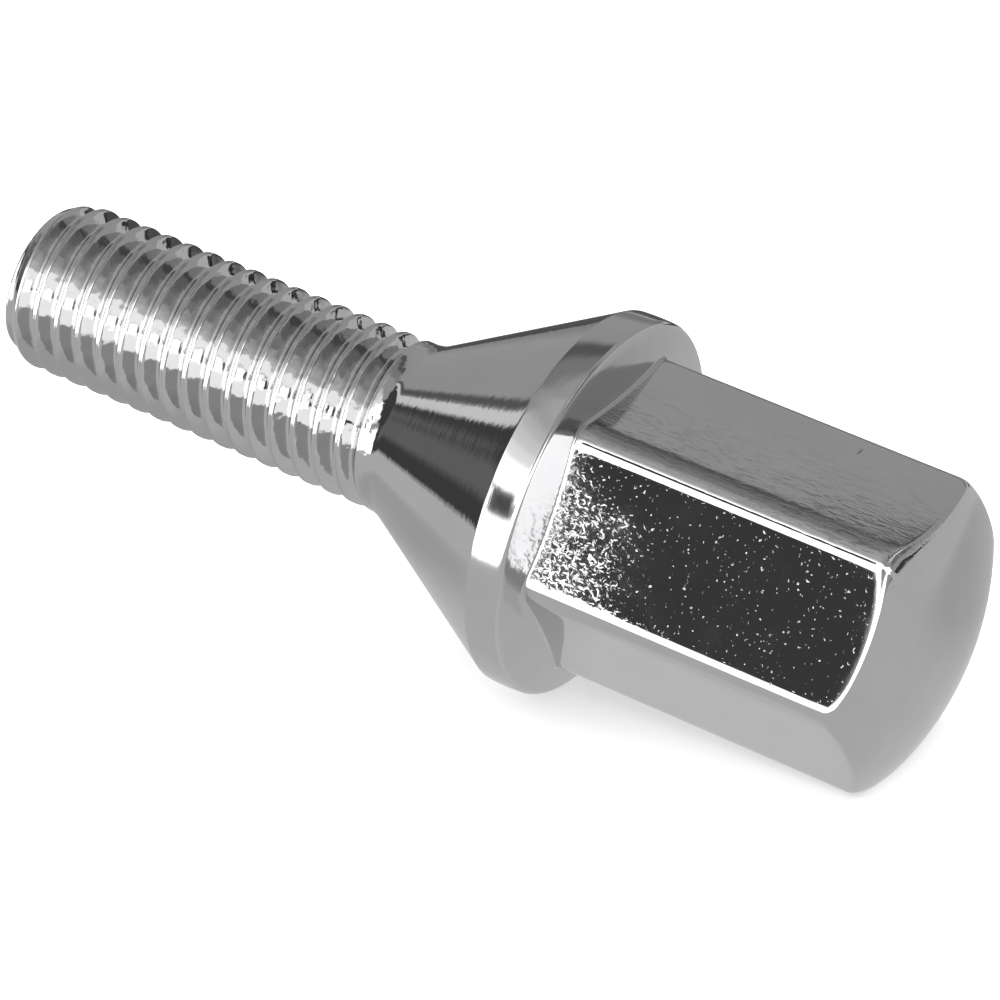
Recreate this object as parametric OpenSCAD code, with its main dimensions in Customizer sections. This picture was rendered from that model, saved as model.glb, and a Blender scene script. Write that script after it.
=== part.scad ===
// Wheel bolt with a conical seat and a long domed hexagon head, lying on a
// hexagon flat and on the rim of its collar, as it comes to rest on a table.
// Sizes are in millimetres. Lengths along the bolt run from the thread's tip.

/* [Thread] */
// Nominal diameter of the thread
thread_d = 12; // [10:0.5:13]
// Pitch of the right-hand thread
pitch = 1.75; // [1.25:0.25:2]
// Length of the thread, from the tip to the small end of the cone
thread_l = 30; // [22:0.5:40]
// Radius by which the crests stay under the nominal size
crest_gap = 0.07; // [0.02:0.01:0.12]
// Length of the chamfer at the tip
tip_chamfer_l = 1.5; // [0.8:0.1:2]
// Depth of the chamfer at the tip, measured on the radius
tip_chamfer_depth = 0.85; // [0.5:0.05:1.2]

/* [Seat and collar] */
// Full angle of the conical seat
seat_angle = 60; // [50:1:80]
// Diameter of the collar, at the large end of the cone
collar_d = 26; // [24:0.5:30]
// Width of the collar's cylindrical band
band_l = 2.4; // [1.5:0.1:4]
// Radius of the round on the band's back edge
band_edge_r = 0.4; // [0.2:0.1:0.8]
// Slope of the collar's back face, from square to the axis
back_slope = 14; // [6:1:22]

/* [Hexagon head] */
// Width across the flats
hex_af = 19; // [17:0.5:20]
// Length along the axis from the collar's band to the end of the flats
hex_l = 23.6; // [16:0.1:30]
// Radius of the round along the hexagon's corners
corner_r = 1.8; // [1:0.1:2.4]
// Radius of the dome on the head's end
dome_r = 21; // [16:0.5:40]

/* [Hidden] */

// Basic form of a metric thread. Each flank leans 30 degrees from square to
// the axis, and the depths are shares of the sharp triangle's height.
flank = 30;
triangle_h = pitch / 2 / tan(flank);
crest_r = thread_d / 2 - crest_gap;
pitch_r = thread_d / 2 - triangle_h * 3 / 8;
root_r = thread_d / 2 - triangle_h * 17 / 24;

// The groove is cut a little past the crests, starts ahead of the tip and
// rises clear of the metal before the cone
groove_over = 0.0875;
groove_top_r = thread_d / 2 + groove_over;
steps_per_turn = 24;
lead_in_turns = 1;
thread_start = 180;
runout_turns = 0.75;
runout_lift = groove_top_r - root_r + groove_over;
groove_end = thread_l - pitch / 4;
groove_turns = groove_end / pitch + lead_in_turns;
groove_steps = floor(groove_turns * steps_per_turn);

// Stations along the axis
tip_r = crest_r - tip_chamfer_depth;
collar_r = collar_d / 2;
cone_l = (collar_r - crest_r) / tan(seat_angle / 2);
band_start = thread_l + cone_l;
band_end = band_start + band_l;
flats_end = band_end + hex_l;
dome_centre = flats_end - sqrt(dome_r * dome_r - hex_af * hex_af / 4);

// Hexagon
corner_reach = hex_af / 2 / cos(30);
corner_centre_r = corner_reach - corner_r / cos(30);
head_start = band_start + band_l / 2;

// How far a cut runs past what it cuts
past = 1;
head_l = dome_centre + dome_r - head_start + past;

// Turned core: how far it stays inside the flats, the step of the round on
// the band's edge, and the turn of its seam away from the line it lies on
core_inset = 2;
edge_step = 15;
seam_turn = 2;

// How the bolt lies: a line touches the band's round and the end of a flat
edge_centre_r = collar_r - band_edge_r;
edge_centre_s = band_end - band_edge_r;
touch_run = flats_end - edge_centre_s;
touch_drop = edge_centre_r - hex_af / 2;
touch_dist = sqrt(touch_run * touch_run + touch_drop * touch_drop);
lie_angle = atan(touch_drop / touch_run) + asin(band_edge_r / touch_dist);
lift = flats_end * sin(lie_angle) + hex_af / 2 * cos(lie_angle);
low_x = -tip_r * sin(lie_angle);
high_x = dome_centre * cos(lie_angle) + dome_r;
middle_x = (low_x + high_x) / 2;

// Half the groove's width at a given radius
function groove_half_w(r) = pitch / 4 + (r - pitch_r) * tan(flank);

// How far the groove has risen out of the metal at a given turn
function groove_lift(turn) =
    runout_lift * max(0, 1 - (groove_turns - turn) / runout_turns);

// The four corners of the groove's section after a number of steps
function groove_ring(step) =
    let (turn = step / steps_per_turn)
    let (s = (turn - lead_in_turns) * pitch)
    let (up = groove_lift(turn))
    let (root_w = groove_half_w(root_r))
    let (top_w = groove_half_w(groove_top_r))
    [
        groove_point(root_r + up, turn, s - root_w),
        groove_point(groove_top_r + up, turn, s - top_w),
        groove_point(groove_top_r + up, turn, s + top_w),
        groove_point(root_r + up, turn, s + root_w)
    ];

function groove_point(r, turn, s) = [r * cos(360 * turn), r * sin(360 * turn), s];

// The helical groove between the threads
module thread_groove() {
    rings = [for (step = [0 : groove_steps]) groove_ring(step)];
    last = 4 * groove_steps;
    sides = [
        for (step = [0 : groove_steps - 1], side = [0 : 3])
            let (a = 4 * step + side)
            let (b = 4 * step + (side + 1) % 4)
            each [[a, b, b + 4], [a, b + 4, a + 4]]
    ];
    ends = [[3, 2, 1, 0], [last, last + 1, last + 2, last + 3]];
    polyhedron(points = [for (ring = rings) each ring], faces = concat(sides, ends), convexity = 10);
}

// Thread blank, cone, collar and the core under the head, turned round the axis
module turned_body() {
    core_r = hex_af / 2 - core_inset;
    edge_r = edge_centre_r + band_edge_r * sin(back_slope);
    edge_s = edge_centre_s + band_edge_r * cos(back_slope);
    core_end = edge_s + (edge_r - core_r) * tan(back_slope);
    rotate_extrude($fn = 96)
        polygon([
            [0, 0],
            [tip_r, 0],
            [crest_r, tip_chamfer_l],
            [crest_r, thread_l],
            [collar_r, band_start],
            [collar_r, edge_centre_s],
            for (turn = [edge_step : edge_step : 90 - edge_step - back_slope])
                [edge_centre_r + band_edge_r * cos(turn), edge_centre_s + band_edge_r * sin(turn)],
            [edge_r, edge_s],
            [core_r, core_end],
            [0, core_end]
        ]);
}

// What one corner of the hexagon loses to its round, along the whole head
module corner_waste() {
    waste_l = head_l + 2 * past;
    translate([corner_centre_r + corner_r * cos(30), -corner_r, head_start - past])
        difference() {
            cube([corner_r, 2 * corner_r, waste_l]);
            translate([-corner_r * cos(30), corner_r, -past])
                cylinder(r = corner_r, h = waste_l + 2 * past, $fn = 48);
        }
}

// Hexagon head with round corners and a flat facing +X, its end cut to a
// shallow dome
module head() {
    difference() {
        intersection() {
            translate([0, 0, head_start])
                rotate(30)
                    cylinder(r = corner_reach, h = head_l, $fn = 6);
            translate([0, 0, dome_centre])
                sphere(r = dome_r, $fn = 96);
        }
        for (turn = [30 : 60 : 330])
            rotate(turn)
                corner_waste();
    }
}

// The whole bolt, standing on its tip
module upright_bolt() {
    difference() {
        rotate(seam_turn)
            turned_body();
        rotate(thread_start)
            thread_groove();
    }
    head();
}

module wheel_bolt() {
    color([0.74, 0.75, 0.77])
        translate([-middle_x, 0, lift])
            rotate([0, 90 + lie_angle, 0])
                upright_bolt();
}

wheel_bolt();
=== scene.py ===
import bpy
import numpy as np
from mathutils import Matrix, Vector


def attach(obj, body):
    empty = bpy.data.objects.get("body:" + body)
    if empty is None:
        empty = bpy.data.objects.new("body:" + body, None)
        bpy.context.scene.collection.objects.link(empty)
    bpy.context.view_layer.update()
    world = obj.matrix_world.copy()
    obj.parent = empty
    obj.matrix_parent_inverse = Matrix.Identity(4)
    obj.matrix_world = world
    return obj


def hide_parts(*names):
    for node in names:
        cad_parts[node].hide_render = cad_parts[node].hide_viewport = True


# A chrome-plated wheel bolt lying on a pale table: thread, conical seat, collar
# and long hexagon head in one closed surface. Piece sizes are in millimetres.

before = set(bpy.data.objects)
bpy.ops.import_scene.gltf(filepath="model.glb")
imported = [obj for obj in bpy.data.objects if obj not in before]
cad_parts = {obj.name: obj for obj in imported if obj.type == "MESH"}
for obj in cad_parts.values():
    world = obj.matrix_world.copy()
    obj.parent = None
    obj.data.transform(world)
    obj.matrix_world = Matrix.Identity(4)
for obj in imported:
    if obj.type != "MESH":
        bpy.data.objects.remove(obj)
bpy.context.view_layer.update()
print("frame loaded")


# Shader helpers
def addNode(tree, kind, inputs=None, **settings):
    # One node; an input is a number, a colour or another node's output socket
    made = tree.nodes.new(kind)
    for name, value in settings.items():
        setattr(made, name, value)
    for name, value in (inputs or {}).items():
        if isinstance(value, bpy.types.NodeSocket):
            tree.links.new(value, made.inputs[name])
        else:
            made.inputs[name].default_value = value
    return made


def sums(tree, operation, first, second=0.0, third=0.0):
    inputs = {0: first, 1: second, 2: third}
    return addNode(tree, "ShaderNodeMath", inputs, operation=operation).outputs[0]


def ramp(tree, value, low, high, outLow=0.0, outHigh=1.0):
    inputs = {"Value": value, "From Min": low, "From Max": high}
    inputs |= {"To Min": outLow, "To Max": outHigh}
    made = addNode(tree, "ShaderNodeMapRange", inputs, interpolation_type="SMOOTHSTEP")
    return made.outputs["Result"]


def noise(tree, place, size, detail=2.0, distortion=0.0):
    # Noise from 0 to 1 round a half, with features of the given size in millimetres
    inputs = {"Vector": place, "Scale": 1 / size, "Detail": detail, "Distortion": distortion}
    return addNode(tree, "ShaderNodeTexNoise", inputs).outputs["Fac"]


def bell(tree, value, middle, width):
    # Gauss's bell: exp(-((value - middle) / width) ** 2)
    away = sums(tree, "DIVIDE", sums(tree, "SUBTRACT", value, middle), width)
    squared = sums(tree, "MULTIPLY", away, away)
    return sums(tree, "EXPONENT", sums(tree, "MULTIPLY", squared, -1.0))


def stretched(tree, place, scale):
    return addNode(tree, "ShaderNodeMapping", {"Vector": place, "Scale": scale}).outputs["Vector"]


# The bolt's form, as in the solid, with lengths from the thread's tip. The last
# three rows are small rounds and marks that the solid leaves out.
bolt = {
    "threadD": 12.0, "pitch": 1.75, "threadLength": 30.0, "crestGap": 0.07,
    "tipChamferLength": 1.5, "tipChamferDepth": 0.85,
    "seatAngle": 60.0, "collarD": 26.0, "bandLength": 2.4, "bandEdgeRound": 0.4,
    "backSlope": 14.0, "hexAcross": 19.0, "hexLength": 23.6, "cornerRound": 1.8,
    "domeRadius": 21.0, "runoutTurns": 0.75,
    "crestRound": 0.10, "rootRound": 0.20, "seamDepth": 0.05, "seamWidth": 0.05,
    "neckRound": 0.5, "tipRound": 0.15, "bandFrontRound": 0.35, "bandBulge": 4.0,
    "collarFillet": 0.32, "endRound": 0.48, "endRoundCorner": 0.8, "endRoundReach": 0.13,
}

# How finely the surface is divided: columns round the hexagon, rows along each
# part, and the thread's rows by their distance from a crest's middle
meshing = {
    "flatColumns": 10, "cornerColumns": 8, "roundRows": 7, "coneRows": 14, "headRows": 16,
    "domeRows": 14, "helixLow": 0.18, "helixHigh": 31.2, "helixJoin": 0.012,
    "crestOffsets": [0, .03, .065, .105, .15, .2, .27, .38, .5, .6, .69, .78],
}

cos30, tan30 = np.cos(np.pi / 6), np.tan(np.pi / 6)
crestR = bolt["threadD"] / 2 - bolt["crestGap"]
triangleH = bolt["pitch"] * cos30
pitchR = bolt["threadD"] / 2 - triangleH * 3 / 8
rootR = bolt["threadD"] / 2 - triangleH * 17 / 24
tipR = crestR - bolt["tipChamferDepth"]
collarR = bolt["collarD"] / 2
tanSeat = np.tan(np.radians(bolt["seatAngle"] / 2))
bandStart = bolt["threadLength"] + (collarR - crestR) / tanSeat
bandEnd = bandStart + bolt["bandLength"]
flatsEnd = bandEnd + bolt["hexLength"]
halfHex = bolt["hexAcross"] / 2
domeCentre = flatsEnd - np.sqrt(bolt["domeRadius"]**2 - halfHex**2)

# How the bolt lies: on the collar's rim and on the end of one flat
edgeR = collarR - bolt["bandEdgeRound"]
edgeS = bandEnd - bolt["bandEdgeRound"]
touchRun, touchDrop = flatsEnd - edgeS, edgeR - halfHex
lieAngle = np.arctan2(touchDrop, touchRun)
lieAngle += np.arcsin(bolt["bandEdgeRound"] / np.hypot(touchRun, touchDrop))
lift = flatsEnd * np.sin(lieAngle) + halfHex * np.cos(lieAngle)
lowX = -tipR * np.sin(lieAngle)
highX = domeCentre * np.cos(lieAngle) + bolt["domeRadius"]
middleX = (lowX + highX) / 2


def softMin(a, b, reach):
    # The lower of two heights, with a round of the given reach where they cross
    h = np.maximum(reach - np.abs(a - b), 0) / reach
    return np.minimum(a, b) - h * h * reach / 4


def softMax(a, b, reach):
    return -softMin(-a, -b, reach)


def fromFlatMiddle(theta):
    # Angle to the middle of the nearest flat; corners are at a twelfth of a turn
    return np.abs((theta + np.pi / 6) % (np.pi / 3) - np.pi / 6)


def cornerCircle():
    # Where a corner's round has its centre, and the angle at which it meets the flat
    cornerR = bolt["cornerRound"]
    centre = (halfHex - cornerR) / cos30
    return centre, np.arctan2(cornerR / 2, centre + cornerR * cos30)


def hexRadius(theta):
    # From the axis to a hexagon with round corners, one flat facing theta = 0:
    # half the width over cos(angle to the flat), or the corner's circle
    cornerR = bolt["cornerRound"]
    centre, tangent = cornerCircle()
    toFlat = fromFlatMiddle(theta)
    toCorner = np.pi / 6 - toFlat
    reach = np.sqrt(np.maximum(cornerR**2 - (centre * np.sin(toCorner))**2, 0))
    onCorner = centre * np.cos(toCorner) + reach
    return np.where(toCorner < tangent, onCorner, halfHex / np.cos(toFlat))


def columnAngles():
    # Angles of the columns round the bolt, closer together at the hexagon's corners
    tangent = cornerCircle()[1]
    flatEdge = np.pi / 6 - tangent
    wide = meshing["flatColumns"]
    fine = meshing["cornerColumns"]
    stops = np.concatenate([
        np.linspace(0, flatEdge, wide + 1)[:-1],
        np.linspace(flatEdge, np.pi / 3 - flatEdge, fine + 1)[:-1],
        np.linspace(np.pi / 3 - flatEdge, np.pi / 3, wide + 1)[:-1],
    ])
    return (stops[None, :] + np.arange(6)[:, None] * np.pi / 3).ravel()


def threadRadius(s, theta):
    # Radius of the thread at station s and angle theta. The groove's middle runs
    # along s = pitch * turns; from it the wall rises as a 60 degree vee with a
    # round root, up to round crests that carry the rolled seam.
    phase = s / bolt["pitch"] - (theta - np.pi) / (2 * np.pi)
    off = phase - np.round(phase)
    grooveS = s - off * bolt["pitch"]
    away = np.abs(off) * bolt["pitch"]
    flank = pitchR + (away - bolt["pitch"] / 4) / tan30
    grooveEnd = bolt["threadLength"] - bolt["pitch"] / 4
    ending = np.clip(1 - (grooveEnd - grooveS) / bolt["pitch"] / bolt["runoutTurns"], 0, 2)
    rise = 1.2 * (crestR - rootR) * ending
    groove = softMax(rootR, flank, bolt["rootRound"]) + rise
    seam = bolt["seamDepth"] * np.exp(-((bolt["pitch"] / 2 - away) / bolt["seamWidth"])**2)
    radius = softMin(crestR, groove, bolt["crestRound"]) - seam * np.clip(1 - ending, 0, 1)
    chamfer = tipR + (crestR - tipR) * s / bolt["tipChamferLength"]
    radius = softMin(radius, chamfer, bolt["tipRound"])
    cone = crestR + (s - bolt["threadLength"]) * tanSeat
    return softMax(radius, cone, bolt["neckRound"])


def roundRows(first, last):
    return np.linspace(first, last, meshing["roundRows"])


def coneRings(theta):
    # From the neck up the cone, round its front edge on to the band, over the
    # band's slight bulge and round its back edge, the same all round
    half = np.radians(bolt["seatAngle"] / 2)
    bulge = np.radians(bolt["bandBulge"])
    slope = np.radians(bolt["backSlope"])
    front, back = bolt["bandFrontRound"], bolt["bandEdgeRound"]
    centreS = bandStart + front * np.tan(half / 2)
    centreR = collarR - front
    coneEnd = centreS - front * np.sin(half)
    s = np.linspace(meshing["helixHigh"], coneEnd, meshing["coneRows"])[1:-1]
    r = crestR + (s - bolt["threadLength"]) * tanSeat
    turn = roundRows(-half, -bulge)
    curl = roundRows(bulge, np.pi / 2 - slope)
    across = np.linspace(-1, 1, 6)[1:-1]
    halfBand = (edgeS - centreS) / 2
    bandR = collarR + halfBand * np.tan(bulge / 2) * (1 - across**2)
    bandS = centreS + halfBand * (1 + across)
    frontR, frontS = centreR + front * np.cos(turn), centreS + front * np.sin(turn)
    backR, backS = edgeR + back * np.cos(curl), edgeS + back * np.sin(curl)
    r = np.concatenate([r, frontR, bandR, backR])
    s = np.concatenate([s, frontS, bandS, backS])
    return r[:, None] + 0 * theta, s[:, None] + 0 * theta


def headRings(theta):
    # Back face, fillet, flats, the round at their end and the dome. In each
    # half-plane the profile is a line, an arc, a line, an arc and the big arc.
    slope = np.radians(bolt["backSlope"])
    rimR = edgeR + bolt["bandEdgeRound"] * np.sin(slope)
    rimS = edgeS + bolt["bandEdgeRound"] * np.cos(slope)
    hexR = hexRadius(theta)
    fillet = bolt["collarFillet"]
    filletR = hexR + fillet
    filletS = rimS + (rimR - filletR) * np.tan(slope) + fillet / np.cos(slope)
    startR = filletR - fillet * np.sin(slope)
    face = np.linspace(0, 1, 6)[1:-1, None]
    faceR = rimR + (startR - rimR) * face
    faceS = rimS + (rimR - faceR) * np.tan(slope)
    curl = roundRows(np.pi / 2 - slope, 0)[:, None]
    filletRows = filletR - fillet * np.cos(curl), filletS - fillet * np.sin(curl)
    toCorner = np.pi / 6 - fromFlatMiddle(theta)
    nearCorner = np.exp(-(toCorner / bolt["endRoundReach"])**2)
    end = bolt["endRound"] + bolt["endRoundCorner"] * nearCorner
    endR = hexR - end
    endS = domeCentre + np.sqrt((bolt["domeRadius"] - end)**2 - endR**2)
    along = np.linspace(0, 1, meshing["headRows"])[1:-1, None]
    flatS = filletS + (endS - filletS) * along
    turn = roundRows(0, 1)[:, None] * np.arctan2(endS - domeCentre, endR)
    endRows = endR + end * np.cos(turn), endS + end * np.sin(turn)
    inward = np.linspace(1, 0, meshing["domeRows"])[1:-1, None]
    domeR = endRows[0][-1] * inward
    domeS = domeCentre + np.sqrt(bolt["domeRadius"]**2 - domeR**2)
    r = np.concatenate([faceR, filletRows[0], hexR + 0 * flatS, endRows[0], domeR])
    s = np.concatenate([faceS, filletRows[1], flatS, endRows[1], domeS])
    return r, s


def boltSurface():
    # The whole bolt as one closed grid (row, column). In the thread the rows run
    # along the helix: row q has s = (q + turns) * pitch, and its end joins the
    # row one pitch further on. Elsewhere the rows are rings.
    theta = columnAngles()
    n = len(theta)
    pitch = bolt["pitch"]
    offsets = np.array(meshing["crestOffsets"])
    phases = np.concatenate([offsets, [pitch / 2], (pitch - offsets[1:])[::-1]]) / pitch
    perPitch = len(phases)
    pitches = int(np.ceil(meshing["helixHigh"] / pitch)) + 2
    q = (np.arange(pitches)[:, None] + phases[None, :]).ravel() - 1.5
    s = (q[:, None] + (theta[None, :] - np.pi) / (2 * np.pi)) * pitch
    low, high, join = meshing["helixLow"], meshing["helixHigh"], meshing["helixJoin"]
    s = np.clip(s, low, high)
    nearLow, nearHigh = s < low + join, s > high - join
    free = ~(nearLow | nearHigh)

    # The tip's edge is a quarter round, then two rings lead in to the middle
    tipTurn = np.linspace(0, np.pi / 2, 6)[1:, None]
    inward = np.array([[0.66], [0.33]])
    lowR = threadRadius(np.full(n, low), theta)
    tipRowsR = np.concatenate([lowR - low * (1 - np.cos(tipTurn)), (lowR - low) * inward])
    tipRowsS = np.concatenate([low - low * np.sin(tipTurn) + 0 * theta, 0 * inward + 0 * theta])
    coneR, coneS = coneRings(theta)
    headR, headS = headRings(theta)

    # Points: low ring, high ring, free helix points, tip rows, cone and head rows,
    # two poles
    ids = np.zeros(s.shape, int)
    ids[nearLow] = np.broadcast_to(np.arange(n), s.shape)[nearLow]
    ids[nearHigh] = np.broadcast_to(n + np.arange(n), s.shape)[nearHigh]
    ids[free] = 2 * n + np.arange(free.sum())
    thetas = np.broadcast_to(theta, s.shape)
    allR = [lowR, threadRadius(np.full(n, high), theta), threadRadius(s[free], thetas[free])]
    allS = [np.full(n, low), np.full(n, high), s[free]]
    allT = [theta, theta, thetas[free]]
    start = 2 * n + free.sum()
    ringR = np.concatenate([tipRowsR, coneR, headR])
    ringS = np.concatenate([tipRowsS, coneS, headS])
    ringIds = start + np.arange(ringR.size).reshape(ringR.shape)
    tipPole, endPole = start + ringR.size, start + ringR.size + 1
    allR += [ringR.ravel(), np.zeros(2)]
    allS += [ringS.ravel(), np.array([0, domeCentre + bolt["domeRadius"]])]
    allT += [np.tile(theta, len(ringR)), np.zeros(2)]
    r, s, t = np.concatenate(allR), np.concatenate(allS), np.concatenate(allT)

    def quadsBetween(lower, upper):
        across = np.roll(lower, -1, axis=-1), np.roll(upper, -1, axis=-1)
        return np.stack([lower, across[0], across[1], upper], -1).reshape(-1, 4)

    # The helix: the last column joins the first, one pitch of rows further on, and
    # past the last row the high ring
    joined = np.concatenate([ids[perPitch:, :1], np.full((perPitch, 1), n)])
    wide = np.concatenate([ids, joined], axis=1)
    corners = [wide[:-1, :-1], wide[:-1, 1:], wide[1:, 1:], wide[1:, :-1]]
    helix = np.stack(corners, -1).reshape(-1, 4)
    tipCount = len(tipRowsR)
    tipRing = np.concatenate([np.arange(n)[None], ringIds[:tipCount]])
    restRing = np.concatenate([n + np.arange(n)[None], ringIds[tipCount:]])
    tipQuads = quadsBetween(tipRing[1:], tipRing[:-1])
    restQuads = quadsBetween(restRing[:-1], restRing[1:])
    quads = np.concatenate([helix, tipQuads, restQuads])

    # A quad with a repeated corner becomes the triangle that is left of it
    ordered = np.sort(quads, axis=1)
    whole = (ordered[:, 1:] != ordered[:, :-1]).all(axis=1)
    pieces = quads[~whole]
    triangles = np.concatenate([pieces[:, [0, 1, 2]], pieces[:, [0, 2, 3]]])
    a, b, c = triangles.T
    triangles = triangles[(a != b) & (b != c) & (a != c)]
    lastTip, lastDome = ringIds[tipCount - 1], ringIds[-1]
    fans = np.concatenate([
        np.stack([np.roll(lastTip, -1), lastTip, np.full(n, tipPole)], -1),
        np.stack([lastDome, np.roll(lastDome, -1), np.full(n, endPole)], -1),
    ])

    # Upright bolt to lying bolt: turned about Y, then moved, in metres
    x, y = r * np.cos(t), r * np.sin(t)
    tilt = np.pi / 2 + lieAngle
    points = np.stack([
        x * np.cos(tilt) + s * np.sin(tilt) - middleX,
        y,
        -x * np.sin(tilt) + s * np.cos(tilt) + lift,
    ], -1) / 1000
    faces = quads[whole].tolist() + triangles.tolist() + fans.tolist()
    data = bpy.data.meshes.new("wheelBoltSurface")
    data.from_pydata(points.tolist(), [], faces)
    data.validate()
    data.shade_smooth()
    made = bpy.data.objects.new("wheelBoltBody", data)
    bpy.context.scene.collection.objects.link(made)
    return made


# Chrome: mirror-bright plate over a blank that was rolled, turned and pressed
chrome = {
    "shade": (0.58, 0.58, 0.585), "cloudTone": 0.12, "cloudSize": 3.5,
    "markTone": 0.3, "backShadeTone": 0.12, "nickTone": 0.5, "nickAt": (-9.5, 3.6, 60.6),
    "roughness": 0.025, "haze": 0.05, "hazeSize": 2.6, "bandRoughness": 0.09,
    "threadRoughness": 0.05, "pitRoughness": 0.3, "grainRoughness": 0.1,
    "grainSize": 0.44, "grainDepth": 0.08, "grainReach": 12.0,
    "pitSize": 0.21, "pitDepth": 0.009, "pitEdge": 0.66,
    "ripple": 0.004, "rippleSize": 1.1, "scratch": 0.03, "ringDepth": 0.006,
    "threadLump": 0.04, "threadLumpSize": 1.0,
    "sagTilt": 0.035, "fallTilt": 0.15, "stepTilt": 0.34, "stepWobble": 0.3,
}


def boltCoordinates(tree):
    # Object coordinates turned back to the upright bolt, in millimetres
    tilt = np.pi / 2 + lieAngle
    back = Matrix.Rotation(-tilt, 3, "Y")
    shift = back @ Vector((middleX, 0, -lift))
    place = addNode(tree, "ShaderNodeTexCoord").outputs["Object"]
    inputs = {"Vector": place, "Scale": (1000, 1000, 1000)}
    inputs |= {"Rotation": (0, -tilt, 0), "Location": shift}
    return addNode(tree, "ShaderNodeMapping", inputs).outputs["Vector"]


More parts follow.
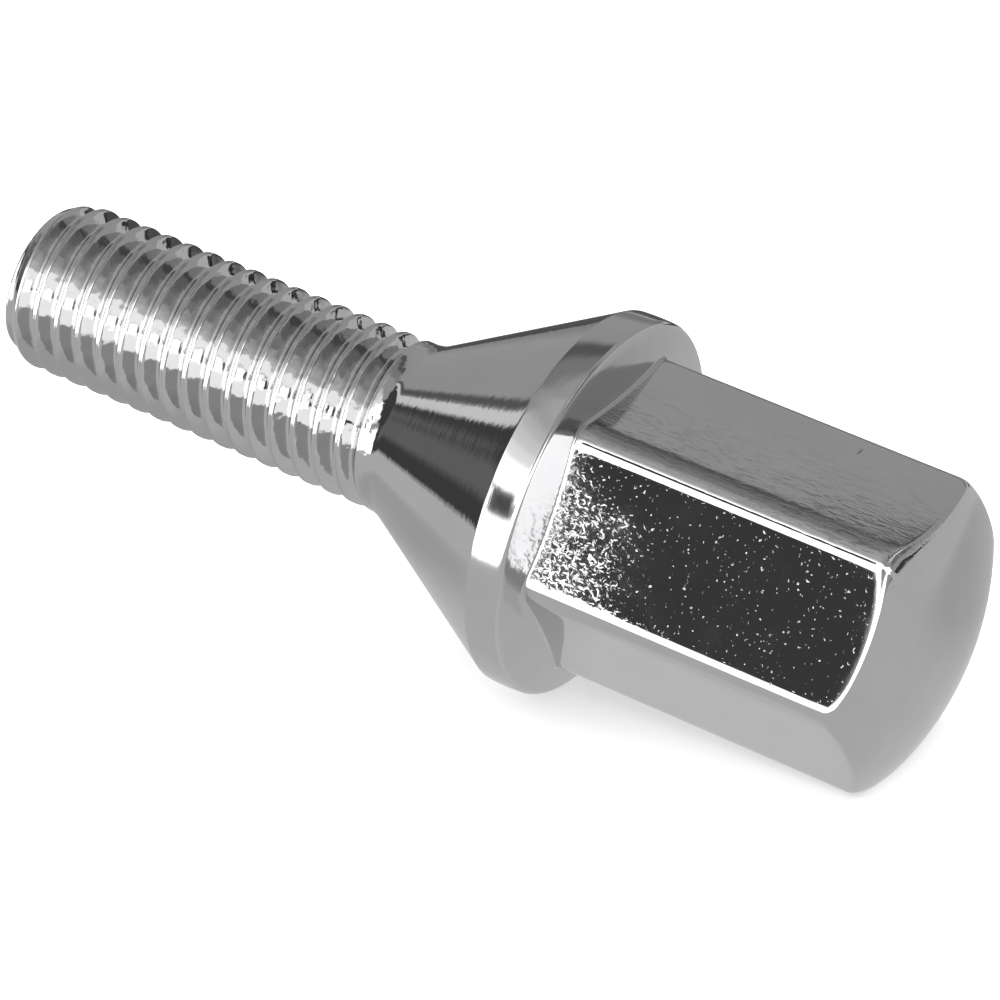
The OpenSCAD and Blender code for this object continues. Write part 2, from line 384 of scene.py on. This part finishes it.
def chromePlate():
    made = bpy.data.materials.new("chromePlate")
    made.use_nodes = True
    tree = made.node_tree
    tree.nodes.clear()
    place = boltCoordinates(tree)
    apart = addNode(tree, "ShaderNodeSeparateXYZ", {"Vector": place})
    station = apart.outputs["Z"]
    onHead = ramp(tree, station, bandEnd + 0.4, bandEnd + 1.2)
    offTop = ramp(tree, apart.outputs["X"], 0.15 - halfHex, 0.6 - halfHex)
    onSides = sums(tree, "MULTIPLY", onHead, offTop)
    turn = sums(tree, "ARCTAN2", apart.outputs["Y"], apart.outputs["X"])
    fromMiddle = sums(tree, "ABSOLUTE", sums(tree, "WRAP", turn, np.pi / 6, -np.pi / 6))
    onFlats = sums(tree, "MULTIPLY", onSides, ramp(tree, fromMiddle, 0.47, 0.42))

    # Distance across the corner between the top flat and the next one: the top
    # flat's edge is below nought. The lower flat, past the next one, is clean.
    aside = sums(tree, "MULTIPLY", apart.outputs["X"], 0.5)
    aside = sums(tree, "MULTIPLY_ADD", apart.outputs["Y"], -cos30, aside)
    onFlats = sums(tree, "MULTIPLY", onFlats, ramp(tree, aside, 9.3, 8.9))

    # Blistered grain on the head's sides, dense beside the collar and thinning out
    drift = noise(tree, place, 3.0)
    reach = sums(tree, "MULTIPLY_ADD", drift, 8.0, station)
    reach = sums(tree, "MULTIPLY_ADD", ramp(tree, aside, 4.5, 1.0), 6.0, reach)
    dense = ramp(tree, reach, bandEnd + 4 + chrome["grainReach"], bandEnd + 4)
    grain = noise(tree, place, chrome["grainSize"], 1.0, 0.4)
    grainHeight = sums(tree, "MULTIPLY", grain, sums(tree, "MULTIPLY", dense, chrome["grainDepth"]))
    height = sums(tree, "MULTIPLY", grainHeight, onFlats)

    # Single pits where a finer noise peaks
    spots = noise(tree, place, chrome["pitSize"], 0.5, 0.5)
    edge = sums(tree, "MULTIPLY_ADD", drift, -0.12, chrome["pitEdge"] + 0.06)
    pits = sums(tree, "MULTIPLY", ramp(tree, sums(tree, "SUBTRACT", spots, edge), 0.0, 0.3), onFlats)
    height = sums(tree, "MULTIPLY_ADD", pits, -chrome["pitDepth"], height)

    # Slow ripple everywhere; short marks along the top flat, denser towards the
    # outer corner
    ripple = noise(tree, place, chrome["rippleSize"])
    height = sums(tree, "MULTIPLY_ADD", ripple, chrome["ripple"], height)
    lines = noise(tree, stretched(tree, place, (3.2, 3.2, 0.9)), 1.0, 2.5, 0.8)
    onTop = sums(tree, "SUBTRACT", onHead, onSides)
    toEdge = ramp(tree, apart.outputs["Y"], 0, -halfHex * tan30)
    toEnd = ramp(tree, station, flatsEnd - 14, flatsEnd - 2)
    corner = sums(tree, "MULTIPLY", onTop, sums(tree, "MULTIPLY", toEdge, toEnd))
    spread = ramp(tree, apart.outputs["Y"], 4.5, -2.5, 0.08, 0.45)
    marked = sums(tree, "MULTIPLY_ADD", corner, 0.55, sums(tree, "MULTIPLY", onTop, spread))
    scratches = sums(tree, "MULTIPLY", lines, marked)
    height = sums(tree, "MULTIPLY_ADD", scratches, -chrome["scratch"], height)

    # Turning marks round the cone and the band, lumps on the rolled thread
    onThread = ramp(tree, station, bolt["threadLength"] + 0.8, bolt["threadLength"] - 0.4)
    onCone = sums(tree, "SUBTRACT", sums(tree, "SUBTRACT", 1.0, onThread), onHead)
    rings = noise(tree, stretched(tree, place, (0.6, 0.6, 3.2)), 1.0, 3.0)
    ringDepth = sums(tree, "MULTIPLY", onCone, chrome["ringDepth"])
    height = sums(tree, "MULTIPLY_ADD", rings, ringDepth, height)
    lumps = noise(tree, place, chrome["threadLumpSize"], 1.5)
    worn = sums(tree, "MULTIPLY", onThread, ramp(tree, station, 14, 26, 1.0, 1.5))
    lumpDepth = sums(tree, "MULTIPLY", worn, chrome["threadLump"])
    height = sums(tree, "MULTIPLY_ADD", lumps, lumpDepth, height)

    # The top flat sags a little towards its outer corner and falls off beside the
    # next flat, where the low step of the forging's parting line runs along the
    # corner: the normal leans over by the given slopes
    sag = sums(tree, "MULTIPLY", bell(tree, aside, -2.4, 1.8), toEnd)
    fall = sums(tree, "MULTIPLY", bell(tree, aside, -1.05, 0.42), chrome["fallTilt"])
    fall = sums(tree, "MULTIPLY_ADD", sag, chrome["sagTilt"], fall)
    wobble = chrome["stepWobble"]
    uneven = sums(tree, "MULTIPLY_ADD", noise(tree, place, 2.5), wobble, 1 - wobble / 2)
    step = sums(tree, "MULTIPLY", bell(tree, aside, 0.383, 0.15), chrome["stepTilt"])
    lean = sums(tree, "MULTIPLY_ADD", step, uneven, fall)
    onHexagon = sums(tree, "MULTIPLY", onHead, ramp(tree, station, flatsEnd + 0.1, flatsEnd - 0.4))
    lean = sums(tree, "MULTIPLY", lean, onHexagon)
    tilt = np.pi / 2 + lieAngle
    across = (0.5 * np.cos(tilt), -cos30, -0.5 * np.sin(tilt))
    ways = {"vector_type": "VECTOR", "convert_from": "OBJECT", "convert_to": "WORLD"}
    across = addNode(tree, "ShaderNodeVectorTransform", {0: across}, **ways).outputs[0]
    inputs = {0: across, "Scale": lean}
    across = addNode(tree, "ShaderNodeVectorMath", inputs, operation="SCALE").outputs[0]
    inputs = {0: addNode(tree, "ShaderNodeNewGeometry").outputs["Normal"], 1: across}
    leaning = addNode(tree, "ShaderNodeVectorMath", inputs, operation="ADD").outputs[0]
    leaning = addNode(tree, "ShaderNodeVectorMath", {0: leaning}, operation="NORMALIZE").outputs[0]
    inputs = {"Height": height, "Distance": 0.001, "Strength": 1.0, "Normal": leaning}
    bump = addNode(tree, "ShaderNodeBump", inputs)

    # Roughness: faint haze on the head, more on the band, the thread and the grain
    hazy = ramp(tree, noise(tree, place, chrome["hazeSize"], 4.0), 0.42, 0.75)
    hazy = sums(tree, "MULTIPLY", hazy, onHead)
    rough = sums(tree, "MULTIPLY_ADD", hazy, chrome["haze"], chrome["roughness"])
    rough = sums(tree, "MULTIPLY_ADD", onThread, chrome["threadRoughness"], rough)
    rough = sums(tree, "MULTIPLY_ADD", pits, chrome["pitRoughness"], rough)
    grainy = sums(tree, "MULTIPLY", dense, onFlats)
    rough = sums(tree, "MULTIPLY_ADD", grainy, chrome["grainRoughness"], rough)
    pastCone = ramp(tree, station, bandStart - 0.3, bandStart)
    onBand = sums(tree, "SUBTRACT", pastCone, onHead)
    rough = sums(tree, "MULTIPLY_ADD", onBand, chrome["bandRoughness"], rough)

    # The marks are a little duller, the collar's back face is darkened with painted shade, there are
    # faint clouds all over and one nick in the top flat
    dull = sums(tree, "MULTIPLY", ramp(tree, lines, 0.52, 0.64), marked)
    dull = sums(tree, "MULTIPLY", dull, chrome["markTone"])
    cloud = noise(tree, place, chrome["cloudSize"], 5.0)
    cloud = sums(tree, "MULTIPLY", cloud, chrome["cloudTone"])
    stretch = (1.0, 2.0, 9.0)
    nickAt = tuple(np.multiply(chrome["nickAt"], stretch))
    inputs = {0: stretched(tree, place, stretch), 1: nickAt}
    toNick = addNode(tree, "ShaderNodeVectorMath", inputs, operation="DISTANCE").outputs["Value"]
    nick = sums(tree, "MULTIPLY", ramp(tree, toNick, 1.0, 0.4), chrome["nickTone"])
    # Painted shade: the collar's back face, between the band and the hexagon, is darkened
    shadedBack = ramp(tree, station, bandEnd - 0.12, bandEnd + 0.05)
    shadedBack = sums(tree, "MULTIPLY", shadedBack, ramp(tree, station, bandEnd + 1.0, bandEnd + 0.7))
    marks = sums(tree, "MULTIPLY_ADD", shadedBack, chrome["backShadeTone"], sums(tree, "ADD", dull, nick))
    tone = sums(tree, "SUBTRACT", 1 + chrome["cloudTone"] / 2, sums(tree, "ADD", marks, cloud))
    inputs = {0: chrome["shade"], "Scale": tone}
    colour = addNode(tree, "ShaderNodeVectorMath", inputs, operation="SCALE").outputs["Vector"]
    inputs = {"Base Color": colour, "Metallic": 1.0, "Roughness": rough}
    inputs["Normal"] = bump.outputs["Normal"]
    shader = addNode(tree, "ShaderNodeBsdfPrincipled", inputs)
    output = addNode(tree, "ShaderNodeOutputMaterial")
    tree.links.new(shader.outputs["BSDF"], output.inputs["Surface"])
    return made


body = boltSurface()
body.data.materials.append(chromePlate())
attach(body, "root")
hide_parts("wheel_bolt")
print("bolt made:", len(body.data.vertices), "points,", len(body.data.polygons), "faces")

# Camera at the photo's viewing angle
camera = {
    "place": (0.16028, -0.23316, 0.18249), "aim": (0.00127, 0.00027, 0.01118),
    "roll": 3.97, "lens": 180.0, "sensor": 36.0,
}
view = bpy.data.objects.new("camera", bpy.data.cameras.new("camera"))
view.data.lens, view.data.sensor_width = camera["lens"], camera["sensor"]
view.data.clip_start, view.data.clip_end = 0.01, 20
bpy.context.scene.collection.objects.link(view)
look = (Vector(camera["aim"]) - Vector(camera["place"])).to_track_quat("-Z", "Y")
look = look.to_matrix().to_4x4()
spin = Matrix.Rotation(-np.radians(camera["roll"]), 4, "Z")
view.matrix_world = Matrix.Translation(camera["place"]) @ look @ spin
bpy.context.scene.camera = view

# Pale table. The camera sees it washed out to white but for a faint shadow; the
# chrome sees glowing paper with painted pools of light and shade: x, y, full within,
# gone beyond, brightness. Lengths are in metres.
table = {
    "left": -0.13, "right": 0.35, "front": -0.085, "back": 0.35, "shade": 0.82,
    "washSeen": 0.5, "white": 1.0, "paper": 0.635,
    "lightAndShadePools": [
        (0.019, -0.008, 0.009, 0.015, 0.715),
        (0.043, 0.03, 0.012, 0.026, 0.525),
        (-0.03, 0.0, 0.012, 0.024, 0.51),
        (-0.075, 0.12, 0.073, 0.095, 0.1),
        (0.022, 0.118, 0.019, 0.029, 0.03),
        (0.2, 0.075, 0.04, 0.064, 0.05),
    ],
}


def palePaper():
    made = bpy.data.materials.new("paleTable")
    made.use_nodes = True
    tree = made.node_tree
    tree.nodes.clear()
    shade = table["shade"]
    place = addNode(tree, "ShaderNodeTexCoord").outputs["Object"]
    fibre = addNode(tree, "ShaderNodeTexNoise", {"Vector": place, "Scale": 900.0, "Detail": 3.0})
    inputs = {"Height": fibre.outputs["Fac"], "Distance": 0.00002, "Strength": 0.5}
    bump = addNode(tree, "ShaderNodeBump", inputs)
    inputs = {"Color": (shade, shade, shade, 1), "Normal": bump.outputs[0]}
    matt = addNode(tree, "ShaderNodeBsdfDiffuse", inputs)
    path = addNode(tree, "ShaderNodeLightPath")
    seen, mirrored = path.outputs["Is Camera Ray"], path.outputs["Is Glossy Ray"]
    paper = table["paper"]
    # Painted light and shade: the paper's glow, seen only in the chrome, gets lighter and darker
    # pools
    for x, y, near, far, level in table["lightAndShadePools"]:
        inputs = {0: place, 1: (x, y, 0)}
        away = addNode(tree, "ShaderNodeVectorMath", inputs, operation="DISTANCE").outputs["Value"]
        inputs = {"Factor": ramp(tree, away, far, near), "A": paper, "B": level}
        paper = addNode(tree, "ShaderNodeMix", inputs, data_type="FLOAT").outputs[0]
    inputs = {"Factor": seen, "A": paper, "B": table["white"]}
    bright = addNode(tree, "ShaderNodeMix", inputs, data_type="FLOAT").outputs[0]
    glow = addNode(tree, "ShaderNodeEmission", {"Strength": bright})
    wash = sums(tree, "MULTIPLY_ADD", seen, table["washSeen"], mirrored)
    inputs = {"Fac": wash, 1: matt.outputs[0], 2: glow.outputs[0]}
    both = addNode(tree, "ShaderNodeMixShader", inputs)
    output = addNode(tree, "ShaderNodeOutputMaterial")
    tree.links.new(both.outputs[0], output.inputs["Surface"])
    return made


plane = bpy.data.meshes.new("table")
corners = [
    (table["left"], table["front"], 0), (table["right"], table["front"], 0),
    (table["right"], table["back"], 0), (table["left"], table["back"], 0),
]
plane.from_pydata(corners, [], [(0, 1, 2, 3)])
floor = bpy.data.objects.new("table", plane)
bpy.context.scene.collection.objects.link(floor)
floor.data.materials.append(palePaper())

# Studio, by compass angle (0 is +Y, -90 is -X) and height in degrees: an even
# fill, a tall bright wall behind the camera and to its left (from, to, soft edge),
# whose brightness eases from one height's level to the next, and over them soft
# boxes and dark cards: from, to, lowest, highest, soft edge, brightness
studio = {
    "fill": 0.55,
    "wall": (-215, -118, 4),
    "wallLevels": [
        (-41.5, 0.55), (-38.5, 1.5), (-14, 1.5), (-8, 3.0), (12, 3.0), (18, 0.55), (22, 0.55),
        (26, 3.0), (42, 3.0), (46, 1.5), (49.5, 1.5), (54.5, 1.15), (57.5, 1.15), (62.5, 0.92),
        (63.5, 0.92), (69, 0.72), (70, 0.72), (82, 0.75),
    ],
    "boxes": [
        (-230, 130, 71, 110, 8, 0.6),
        (-235, -100, 72, 110, 12, 0.75),
        (-80, 30, 47, 72, 12, 0.36),
        (-65, 25, 43.5, 56, 7, 0.17),
        (-42, 10, -30, 8, 10, 0.32),
        (-74, -46, -12, 43, 8, 0.55),
        (-168, -134, 15.5, 29, 1.5, 0.078),
        (-118, -85, -6, 45, 2, 0.085),
        (-110, -85, 3, 13, 5, 0.22),
        (-92, -66, -6, 16, 4, 0.22),
        (-84.5, -79.5, 18, 45, 1.5, 1.1),
        (-78.5, -74, 16, 45, 3, 0.17),
        (54, 84, 16, 60, 6, 0.28),
        (60, 90, 43, 48, 2, 2.0),
        (96, 172, -22, 24, 5, 3.9),
    ],
}


def compassMask(tree, compass, west, east, soft):
    # One between two compass angles and nought outside, with a soft edge; only a
    # stretch that starts before -180 needs its angles wrapped
    turned = sums(tree, "SUBTRACT", compass, (west + east) / 2)
    if west < -180:
        turned = sums(tree, "WRAP", turned, 180.0, -180.0)
    away = sums(tree, "ABSOLUTE", turned)
    halfWide = (east - west) / 2
    return ramp(tree, away, halfWide + soft / 2, halfWide - soft / 2)


def wallBrightness(tree, height):
    # A colour ramp over the wall's heights, as a share of its brightest level. It
    # comes with two stops: the first is kept for the lowest level.
    levels = studio["wallLevels"]
    lowest, highest = levels[0][0], levels[-1][0]
    brightest = max(level for _, level in levels)
    share = sums(tree, "SUBTRACT", height, lowest)
    share = sums(tree, "DIVIDE", share, highest - lowest)
    graded = addNode(tree, "ShaderNodeValToRGB", {"Fac": share})
    graded.color_ramp.interpolation = "EASE"
    stops = graded.color_ramp.elements
    stops.remove(stops[1])
    for number, (at, level) in enumerate(levels):
        stop = stops.new((at - lowest) / (highest - lowest)) if number else stops[0]
        grey = level / brightest
        stop.color = (grey, grey, grey, 1)
    return sums(tree, "MULTIPLY", graded.outputs["Color"], brightest)


def studioWorld():
    # The background's brightness is a sheet of fill with the wall and each box
    # laid over it
    made = bpy.data.worlds.new("studio")
    made.use_nodes = True
    tree = made.node_tree
    tree.nodes.clear()
    way = addNode(tree, "ShaderNodeTexCoord").outputs["Generated"]
    apart = addNode(tree, "ShaderNodeSeparateXYZ", {"Vector": way})
    degrees = 180 / np.pi
    compass = sums(tree, "ARCTAN2", apart.outputs["X"], apart.outputs["Y"])
    compass = sums(tree, "MULTIPLY", compass, degrees)
    height = sums(tree, "MULTIPLY", sums(tree, "ARCSINE", apart.outputs["Z"]), degrees)
    onWall = compassMask(tree, compass, *studio["wall"])
    inputs = {"Factor": onWall, "A": studio["fill"], "B": wallBrightness(tree, height)}
    bright = addNode(tree, "ShaderNodeMix", inputs, data_type="FLOAT").outputs[0]
    for west, east, low, high, soft, level in studio["boxes"]:
        inWide = compassMask(tree, compass, west, east, soft)
        above = sums(tree, "ABSOLUTE", sums(tree, "SUBTRACT", height, (low + high) / 2))
        halfHigh = (high - low) / 2
        inHigh = ramp(tree, above, halfHigh + soft / 2, halfHigh - soft / 2)
        inside = sums(tree, "MULTIPLY", inWide, inHigh)
        inputs = {"Factor": inside, "A": bright, "B": level}
        bright = addNode(tree, "ShaderNodeMix", inputs, data_type="FLOAT").outputs[0]
    seen = addNode(tree, "ShaderNodeLightPath").outputs["Is Camera Ray"]
    glow = addNode(tree, "ShaderNodeBackground", {"Strength": bright})
    white = addNode(tree, "ShaderNodeBackground", {"Color": (1, 1, 1, 1)})
    inputs = {"Fac": seen, 1: glow.outputs[0], 2: white.outputs[0]}
    both = addNode(tree, "ShaderNodeMixShader", inputs)
    output = addNode(tree, "ShaderNodeOutputWorld")
    tree.links.new(both.outputs[0], output.inputs["Surface"])
    return made


bpy.context.scene.world = studioWorld()
bpy.context.scene.view_settings.view_transform = "Standard"

# A wide lamp overhead lights the table and isn't mirrored. A small soft box in
# front of the thread hides the dark card from it; seen from the head, the box
# stands beside the card.
lamps = {
    "overheadLamp": {
        "place": (0, 0, 0.6), "aim": (0, 0, 0),
        "wide": 1.2, "high": 1.2, "power": 20, "mirrored": False,
    },
    "threadLamp": {
        "place": (-0.099, -0.135, 0.0745), "aim": (-0.02, 0, 0.017),
        "wide": 0.056, "high": 0.05, "power": 0.026, "mirrored": True,
    },
}


def addLamp(name, lamp):
    light = bpy.data.objects.new(name, bpy.data.lights.new(name, "AREA"))
    light.data.shape = "RECTANGLE"
    light.data.energy = lamp["power"]
    light.data.size, light.data.size_y = lamp["wide"], lamp["high"]
    light.location = lamp["place"]
    way = Vector(lamp["aim"]) - Vector(lamp["place"])
    light.rotation_euler = way.to_track_quat("-Z", "Y").to_euler()
    light.visible_glossy = lamp["mirrored"]
    light.visible_camera = False
    bpy.context.scene.collection.objects.link(light)


for name, lamp in lamps.items():
    addLamp(name, lamp)
print("camera, table and light set")
